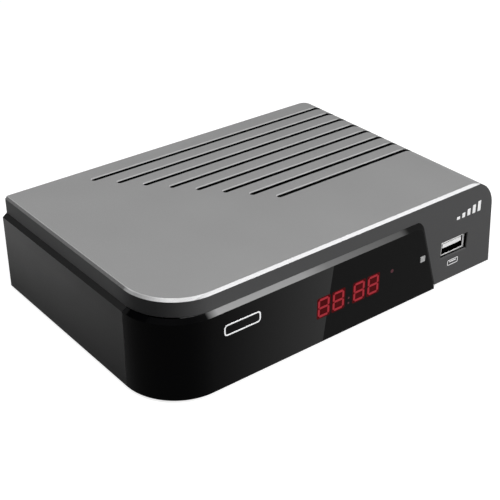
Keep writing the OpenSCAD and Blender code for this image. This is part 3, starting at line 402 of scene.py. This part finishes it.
def gloss_black():
    """Piano-gloss plastic, lightened by a painted reflection up to the display window's slanted edge, with a
    chamfer of lower gloss that carries a painted reflection.
    """
    s = Shader("gloss_black", PIANO_BLACK, 0.05, specular=0.012)
    x, z = s.place_part("X"), s.place_part("Z")
    # Left of the window a painted reflection lightens the black from the corner to the window's edge
    lean = (WINDOW_TOP_X - WINDOW_FOOT_X) / (fascia_high.z - fascia_low.z)
    edge_x = s.math("MULTIPLY_ADD", s.math("SUBTRACT", z, fascia_low.z), lean, WINDOW_FOOT_X)
    reflection_share = s.math("POWER", s.ranged(x, 0, 1, fascia_low.x + 0.6 * CORNER_R, WINDOW_TOP_X), 1.4)
    front = s.tint(s.below(x, edge_x), WINDOW, s.tint(reflection_share, PIANO_BLACK, REFLECTION_TINT))
    # The chamfer is satin all along, and carries a painted reflection in grey from past the corner to before
    # the fascia's right end
    slope = s.every(s.above(s.normal_part("Z"), SLOPED), s.below(s.normal_part("Y"), -SLOPED))
    chamfer = s.every(slope, s.ranged(x, 0, 1, *CHAMFER_REFLECTION_START), s.ranged(x, 1, 0, *CHAMFER_REFLECTION_END))
    chamfer_reflection_grey = s.ramp(s.ranged(x, 0, 1, CHAMFER_REFLECTION_START[0], CHAMFER_REFLECTION_END[1]), CHAMFER_REFLECTION)
    s.colour(s.tint(chamfer, front, chamfer_reflection_grey))
    gloss = s.ranged(s.noise(14 * MM, detail=3), 0.035, 0.075)
    s.rough(s.math("MULTIPLY_ADD", slope, CHAMFER_ROUGH, gloss))
    s.bump(s.noise(9 * MM, detail=1), 0.01 * MM, edge=0.12 * MM)
    return s.material


def glow(name, colour, strength):
    """Lit plastic, a little uneven."""
    s = Shader(name, shaded(colour, 0.25), 0.35, specular=0.02)
    s.feed(s.bsdf, "Emission Color", s.tint(s.noise(1.2 * MM), shaded(colour, UNEVEN), colour))
    s.feed(s.bsdf, "Emission Strength", strength)
    return s.material


def circuit_board():
    """Green solder mask with tracks under it."""
    s = Shader("circuit_board", MASK_GREEN, 0.35)
    tracks = s.ranged(s.noise(3 * MM, detail=3, stretch=(1, 0.3, 1)), 0, 1, 0.5, 0.54)
    s.colour(s.tint(tracks, MASK_GREEN, TRACK_GREEN))
    s.bump(tracks, 0.03 * MM)
    return s.material


looks = {
    "silver_cover": silver_paint(),
    "dark_case": moulded("dark_case", grey(103), rough=0.42, grain=0.5 * MM, depth=0.02 * MM,
                         edge=0.2 * MM, specular=0.015, ledge=grey(36), painted_shade=True),
    "gloss_black": gloss_black(),
    "black_panel": moulded("black_panel", grey(40), rough=0.5),
    "rubber": moulded("rubber", grey(34), rough=0.8, grain=0.3 * MM, edge=0.3 * MM, specular=0.3),
    "screw_steel": metal("screw_steel", (0.42, 0.42, 0.43, 1), rough=0.32),
    "button_grey": moulded("button_grey", grey(165), rough=0.45, grain=0.2 * MM),
    "black_plastic": moulded("black_plastic", grey(30), rough=0.4),
    "circuit_board": circuit_board(),
    "red_segments": glow("red_segments", RED, 1.0),
    "red_lens": glow("red_lens", PINK, 0.8),
    "socket_metal": metal("socket_metal", (0.78, 0.78, 0.79, 1), rough=0.2),
    "white_plastic": moulded("white_plastic", grey(244), rough=0.4, grain=0.2 * MM, spread=0.03),
    "gold_contact": metal("gold_contact", (0.85, 0.6, 0.22, 1), rough=0.25),
    "ribbon_grey": moulded("ribbon_grey", grey(180), rough=0.55),
    "ivory_plastic": moulded("ivory_plastic", (0.75, 0.7, 0.56, 1), rough=0.5),
    "tin_plate": metal("tin_plate", (0.62, 0.62, 0.62, 1), rough=0.3),
    "yellow_plastic": moulded("yellow_plastic", (0.85, 0.56, 0.02, 1), rough=0.35),
    "red_plastic": moulded("red_plastic", (0.55, 0.015, 0.02, 1), rough=0.35),
    "chip_black": moulded("chip_black", grey(36), rough=0.6),
    "sink_aluminium": metal("sink_aluminium", (0.66, 0.66, 0.68, 1), rough=0.35),
    "capacitor_sleeve": moulded("capacitor_sleeve", (0.02, 0.03, 0.1, 1), rough=0.3),
}
for part in frame["record"]["subparts"]:
    piece = nodes[part["node"]]
    piece.data.materials.clear()
    piece.data.materials.append(looks[part["material_slot"]])
# The USB socket's inside is darkened with painted shade, and only its front rim is bright
nodes["usb_shell"].data.materials[0] = metal("usb_metal", (0.9, 0.9, 0.9, 1), rough=0.35, walls=grey(30))


# The cover


# How far past the rolled edge's ends a point still lies on it, in radians, and how much shorter the span of a
# diagonal has to be
PAST_END = 0.01
LEAST_GAIN = 1e-4
# A facet is flat if its corners' normals are its own to within this, and faces outward past this share
FLAT_WITHIN = math.radians(12)
OUTWARD = 0.8
TURNED_AWAY = math.radians(5)
SHARP = math.radians(30)
# Lowest point of the piece that fills the rolled edge's end, over the arc's line
END_FOOT = 1 * MM


def roll_place(point):
    """Angle round the rolled edge's line, and the radius of the arc that the point lies on, if any."""
    x, z = point.x - roll_x, point.z - roll_z
    angle, distance = math.atan2(z, x), math.hypot(x, z)
    if -PAST_END < angle < math.pi / 2 + PAST_END:
        for r in (ROLL_R, ROLL_IN_R):
            if abs(distance - r) < HAIR:
                return angle, r
    return angle, None


def straight_out(angle):
    """Direction away from the rolled edge's line."""
    return Vector((math.cos(angle), 0, math.sin(angle)))


def lay_along_roll(points, normals, faces):
    """Where two facets of the rolled edge share a diagonal, gives them the one that spans less of its arc."""
    places = [roll_place(p) for p in points]
    unrolled = [Vector((angle * ROLL_R, p.y)) for (angle, r), p in zip(places, points)]
    owners = {}

    def enter(f):
        """Notes which facet each of its edges belongs to."""
        a, b, c = faces[f]
        owners.update({(a, b): f, (b, c): f, (c, a): f})

    def side(a, b, c):
        """On which side of the line from a to b the point c lies, by its sign."""
        return (unrolled[b] - unrolled[a]).cross(unrolled[c] - unrolled[a])

    def span(a, b):
        """Angle of the arc between two points."""
        return abs(places[a][0] - places[b][0])

    def rolled(face):
        """Whether a facet lies on one arc, and isn't a flat end or bevel whose corners do."""
        radii = {places[i][1] for i in face}
        across = [points[i].y for i in face]
        if len(radii) > 1 or None in radii or max(across) - min(across) < HAIR / 2:
            return False
        own = normal([points[i] for i in face])
        flat = all(own.angle(normals[i]) < FLAT_WITHIN for i in face)
        return not flat or abs(own.dot(straight_out(places[face[0]][0]))) > OUTWARD

    for f, face in enumerate(faces):
        if rolled(face):
            enter(f)
    moved = True
    while moved:
        moved = False
        for a, b in list(owners):
            if (a, b) not in owners or (b, a) not in owners:
                continue
            f, g = owners[a, b], owners[b, a]
            c, d = sum(faces[f]) - a - b, sum(faces[g]) - a - b
            crossing = side(c, d, a) * side(c, d, b) < 0
            if crossing and span(c, d) < span(a, b) - LEAST_GAIN:
                del owners[a, b], owners[b, a]
                faces[f], faces[g] = (a, d, c), (d, b, c)
                enter(f)
                enter(g)
                moved = True
    # A corner that the long facets had turned away faces straight out again
    for i in {i for pair in owners for i in pair}:
        angle, r = places[i]
        out = straight_out(angle) if r == ROLL_R else -straight_out(angle)
        if out.angle(normals[i]) > TURNED_AWAY:
            normals[i] = out


def new_piece(name, mesh, look):
    """A piece of the scene's own that rides on the case."""
    piece = bpy.data.objects.new(name, mesh)
    bpy.context.scene.collection.objects.link(piece)
    mesh.materials.append(look)
    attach(piece, "case")
    return piece


def cover_shell():
    """The cover's own faces, with the facets over its rolled edge laid along the arc."""
    solid = nodes["top_cover"].data
    points = [v.co.copy() for v in solid.vertices]
    normals = [None] * len(points)
    for loop, corner in zip(solid.loops, solid.corner_normals):
        normals[loop.vertex_index] = corner.vector.copy()
    faces = [tuple(p.vertices) for p in solid.polygons]
    lay_along_roll(points, normals, faces)
    mesh = bpy.data.meshes.new("cover_shell")
    mesh.from_pydata(points, [], faces)
    mesh.shade_smooth()
    mesh.normals_split_custom_set_from_vertices(normals)
    shell = new_piece("cover_shell", mesh, looks["silver_cover"])
    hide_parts("top_cover")


def rolled_edge_end():
    """The rolled edge's last stretch, beside the upper corner of the rear opening."""
    low_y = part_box("rear_panel")[1].y - OPENING_IN
    # Heights over the arc's line, closer together where the arc bounds the piece, past the bend
    bend = math.sqrt(ROLL_R ** 2 - ROLL_IN_R ** 2)
    top = ROLL_IN_R - REAR_LIP_H
    heights = [END_FOOT + (bend - END_FOOT) * i / 6 for i in range(6)]
    heights += [bend + (top - bend) * i / 4 for i in range(5)]
    bm = bmesh.new()
    rows = []
    for h in heights:
        inner = roll_x + math.sqrt(ROLL_IN_R ** 2 - h ** 2)
        outer = min(opening_x, roll_x + math.sqrt(ROLL_R ** 2 - h ** 2))
        corners = ((inner, low_y), (outer, low_y), (outer, cover_high.y), (inner, cover_high.y))
        rows.append([bm.verts.new((x, y, roll_z + h)) for x, y in corners])
    for low_row, high_row in zip(rows, rows[1:]):
        for i in range(4):
            j = (i + 1) % 4
            bm.faces.new((low_row[i], low_row[j], high_row[j], high_row[i]))
    bm.faces.new(rows[0])
    bm.faces.new(rows[-1])
    bmesh.ops.recalc_face_normals(bm, faces=bm.faces)
    mesh = bpy.data.meshes.new("rolled_edge_end")
    bm.to_mesh(mesh)
    bm.free()
    mesh.shade_smooth()
    mesh.set_sharp_from_angle(angle=SHARP)
    new_piece("rolled_edge_end", mesh, looks["silver_cover"])


cover_shell()
rolled_edge_end()


# Marks and lit digits on the front


def flat_piece(name, outlines, y, depth, look, bands=()):
    """Thin piece made of outlines in X and Z, and of bands between two outlines each, standing out of the
    plane y by that depth."""
    mesh = bpy.data.meshes.new(name)
    bm = bmesh.new()

    def loops(outline):
        """The outline's points at the piece's face and at its back."""
        front = [bm.verts.new((x, y - depth, z)) for x, z in outline]
        back = [bm.verts.new((x, y, z)) for x, z in outline]
        return front, back

    def join(a, b):
        """Faces between two loops of points."""
        for i in range(len(a)):
            j = (i + 1) % len(a)
            bm.faces.new((a[i], b[i], b[j], a[j]))

    for outline in outlines:
        front, back = loops(outline)
        bm.faces.new(front)
        bm.faces.new(reversed(back))
        join(front, back)
    for outer, inner in bands:
        front, back = loops(outer)
        front_in, back_in = loops(inner)
        join(front, back)
        join(front_in, back_in)
        join(front, front_in)
        join(back, back_in)
    bmesh.ops.recalc_face_normals(bm, faces=bm.faces)
    bm.to_mesh(mesh)
    bm.free()
    new_piece(name, mesh, look)


def bar(x, z, length, upright):
    """Six-sided segment whose near tip is at x, z."""
    s = SEGMENT_W / 2
    w = s - SEGMENT_GAP
    end = length - SEGMENT_GAP
    points = [(SEGMENT_GAP, 0), (s, -w), (length - s, -w), (end, 0), (length - s, w), (s, w)]
    return [(x + (-b if upright else a), z + (a if upright else b)) for a, b in points]


def digit(x, z):
    """The seven segments of a digit whose lower left corner is at x, z."""
    s = SEGMENT_W / 2
    half = DIGIT_H / 2 - s
    flats = [bar(x + s, z + h, DIGIT_W - 2 * s, False) for h in (s, DIGIT_H / 2, DIGIT_H - s)]
    uprights = [bar(x + a, z + h, half, True) for a in (s, DIGIT_W - s) for h in (s, s + half)]
    return flats + uprights


def disc(x, z, r, count=24):
    turns = [2 * math.pi * i / count for i in range(count)]
    return [(x + r * math.cos(a), z + r * math.sin(a)) for a in turns]


def rounded(x0, z0, x1, z1, r, count=6):
    """Rectangle with rounded corners, counter-clockwise from its lower right corner."""
    centres = ((x1 - r, z0 + r), (x1 - r, z1 - r), (x0 + r, z1 - r), (x0 + r, z0 + r))
    points = []
    for quarter, (cx, cz) in enumerate(centres, -1):
        for i in range(count + 1):
            a = math.radians(90 * quarter + 90 * i / count)
            points.append((cx + r * math.cos(a), cz + r * math.sin(a)))
    return points


def boxed(x, z, half_w, half_h, r, count=6):
    """Rounded rectangle round a middle."""
    return rounded(x - half_w, z - half_h, x + half_w, z + half_h, r, count)


# How far these pieces stand out of the face behind them
GLOW_OUT = 0.01 * MM
PRINT_OUT = 0.03 * MM
PLATE_OUT = 0.05 * MM
RIM_OUT = 0.12 * MM

# Lit digits show at the fascia's face
HALO = 0.4 * MM
HALO_R = 0.8 * MM
digits_x = (digits_low.x + digits_high.x) / 2
digits_z = (digits_low.z + digits_high.z) / 2
digits_foot = digits_z - DIGIT_H / 2
row_w = 3 * DIGIT_PITCH + COLON_GAP + DIGIT_W
segments, halos = [], []
for i in range(4):
    left = digits_x - row_w / 2 + i * DIGIT_PITCH + (COLON_GAP if i > 1 else 0)
    segments += digit(left, digits_foot)
    halos.append(boxed(left + DIGIT_W / 2, digits_z, DIGIT_W / 2 + HALO, DIGIT_H / 2 + HALO, HALO_R))
flat_piece("digit_glow", halos, fascia_y, GLOW_OUT, glow("digit_glow", DIM_RED, 0.65))
flat_piece("lit_digits", segments, fascia_y, PRINT_OUT, looks["red_segments"])
COLON_R = 0.45 * MM
COLON_RISES = (0.9 * MM, 3.2 * MM)
colon = [disc(digits_x, digits_foot + rise, COLON_R) for rise in COLON_RISES]
flat_piece("lit_colon", colon, fascia_y, PRINT_OUT, looks["red_lens"])
DOT_R = 0.8 * MM
dot = disc((led_low.x + led_high.x) / 2, (led_low.z + led_high.z) / 2, DOT_R)
flat_piece("lit_standby_dot", [dot], fascia_y, PRINT_OUT, looks["red_lens"])

# Bare badge plate with a bright rim
BADGE_X = (25.55 * MM, 42.05 * MM)
BADGE_Z = (22.0 * MM, 26.75 * MM)
BADGE_R = 1.5 * MM
RIM = 0.58 * MM
x0, x1 = (cover_low.x + x for x in BADGE_X)
z0, z1 = (shell_z + z for z in BADGE_Z)
rim_out = rounded(x0, z0, x1, z1, BADGE_R)
rim_in = rounded(x0 + RIM, z0 + RIM, x1 - RIM, z1 - RIM, BADGE_R - RIM)
flat_piece("badge_rim", [], fascia_y, RIM_OUT, looks["socket_metal"], [(rim_out, rim_in)])
flat_piece("badge_plate", [rim_in], fascia_y, PLATE_OUT, looks["gloss_black"])

# Printed marks on the grey panel: rising bars, and a port's outline under the socket
print_white = moulded("print_white", grey(248), rough=0.5, spread=0.03)
BAR_COUNT = 5
BAR_X = 146.65 * MM
BAR_Z = 27.2 * MM
BAR_W = 1.8 * MM
BAR_PITCH = 3.1 * MM
BAR_H = 1.4 * MM
BAR_RISE = 0.85 * MM
BAR_R = 0.25 * MM
bars = []
for i in range(BAR_COUNT):
    x, z = cover_low.x + BAR_X + i * BAR_PITCH, shell_z + BAR_Z
    bars.append(rounded(x, z, x + BAR_W, z + BAR_H + i * BAR_RISE, BAR_R, 3))
flat_piece("signal_mark", bars, panel_y, PRINT_OUT, print_white)
PORT_Z = 7.8 * MM
PORT_HALF = (3.2 * MM, 1.3 * MM)
PORT_LINE = 0.35 * MM
TONGUE_HALF = (2.0 * MM, 0.25 * MM)
TONGUE_UP = 0.35 * MM
x, z = (usb_low.x + usb_high.x) / 2, shell_z + PORT_Z
port_out = boxed(x, z, *PORT_HALF, 0.5 * MM, 4)
port_in = boxed(x, z, *(half - PORT_LINE for half in PORT_HALF), 0.2 * MM, 4)
tongue = boxed(x, z + TONGUE_UP, *TONGUE_HALF, 0.1 * MM, 2)
flat_piece("port_mark", [tongue], panel_y, PRINT_OUT, print_white, [(port_out, port_in)])


# Floor, light and camera
FLOOR_HALF = 4
FLOOR_SEEN = (0.42, 0.42, 0.42, 1)
FLOOR_BOUNCE = (0.06, 0.06, 0.06, 1)
FLOOR_GLOW = 0.78
WHITE = (1, 1, 1, 1)
# The sky's strength at the horizon and overhead, and the height at which it has become the latter
SKY = (0.4, 0.05)
SKY_HEIGHT = 0.08


def white_floor():
    """Pale floor, white to the eye and in reflections, with a soft shadow and a modest bounce on the part."""
    s = Shader("floor", FLOOR_BOUNCE, 0.9, specular=0.1)
    path = s.add("ShaderNodeLightPath")
    seen = s.math("MAXIMUM", path.outputs["Is Camera Ray"], path.outputs["Is Glossy Ray"])
    seen = s.math("MAXIMUM", seen, path.outputs["Is Transmission Ray"])
    s.colour(s.tint(seen, FLOOR_BOUNCE, FLOOR_SEEN))
    s.feed(s.bsdf, "Emission Color", WHITE)
    s.feed(s.bsdf, "Emission Strength", s.math("MULTIPLY", seen, FLOOR_GLOW))
    return s.material


def floor():
    mesh = bpy.data.meshes.new("floor")
    corners = ((-1, -1), (1, -1), (1, 1), (-1, 1))
    mesh.from_pydata([(x * FLOOR_HALF, y * FLOOR_HALF, cad_low.z) for x, y in corners], [], [(0, 1, 2, 3)])
    mesh.materials.append(white_floor())
    piece = bpy.data.objects.new("floor", mesh)
    bpy.context.scene.collection.objects.link(piece)


def studio_sky():
    """Sky that is pale at the horizon and dim overhead."""
    world = bpy.data.worlds.new("studio")
    bpy.context.scene.world = world
    world.use_nodes = True
    tree = world.node_tree
    background = tree.nodes["Background"]
    sky = tree.nodes.new("ShaderNodeTexCoord")
    height = tree.nodes.new("ShaderNodeSeparateXYZ")
    level = tree.nodes.new("ShaderNodeMapRange")
    tree.links.new(sky.outputs["Generated"], height.inputs[0])
    tree.links.new(height.outputs["Z"], level.inputs["Value"])
    for socket, value in zip(("From Min", "From Max", "To Min", "To Max"), (0, SKY_HEIGHT, *SKY)):
        level.inputs[socket].default_value = value
    tree.links.new(level.outputs[0], background.inputs["Strength"])
    background.inputs["Color"].default_value = WHITE


def soft_box(name, place, width, height, watts):
    """Lamp that faces the part's middle."""
    light = bpy.data.lights.new(name, "AREA")
    light.shape = "RECTANGLE"
    light.size = width
    light.size_y = height
    light.energy = watts
    lamp = bpy.data.objects.new(name, light)
    lamp.location = place
    to_middle = (cad_low + cad_high) / 2 - lamp.location
    lamp.rotation_euler = to_middle.to_track_quat("-Z", "Y").to_euler()
    bpy.context.scene.collection.objects.link(lamp)


floor()
studio_sky()
soft_box("overhead", (-0.3, -0.15, 0.8), width=0.4, height=0.4, watts=3.2)
soft_box("front_box", (0.42, -0.7, 0.5), width=1.0, height=0.6, watts=9.6)
soft_box("left_box", (-0.42, 0.4, 0.3), width=0.3, height=0.3, watts=1.2)

# The camera stands where the photo's edges put it, from the cover's middle at the shell's foot
CAMERA_FROM = Vector((-253.7, -318.0, 246.8)) * MM
CAMERA_YAW = 38.29
CAMERA_PITCH = 30.09
LENS_MM = 80.67
SENSOR_MM = 36
COVER_HALF_W = 84 * MM
COVER_HALF_D = 54 * MM
anchor = Vector((cover_low.x + COVER_HALF_W, cover_low.y + COVER_HALF_D, shell_z))
camera = bpy.data.cameras.new("camera")
camera.sensor_width = SENSOR_MM
camera.lens = LENS_MM
camera_object = bpy.data.objects.new("camera", camera)
camera_object.location = anchor + CAMERA_FROM
camera_object.rotation_euler = (math.radians(90 - CAMERA_PITCH), 0, -math.radians(CAMERA_YAW))
bpy.context.scene.collection.objects.link(camera_object)
bpy.context.scene.camera = camera_object
bpy.context.scene.view_settings.view_transform = "Standard"
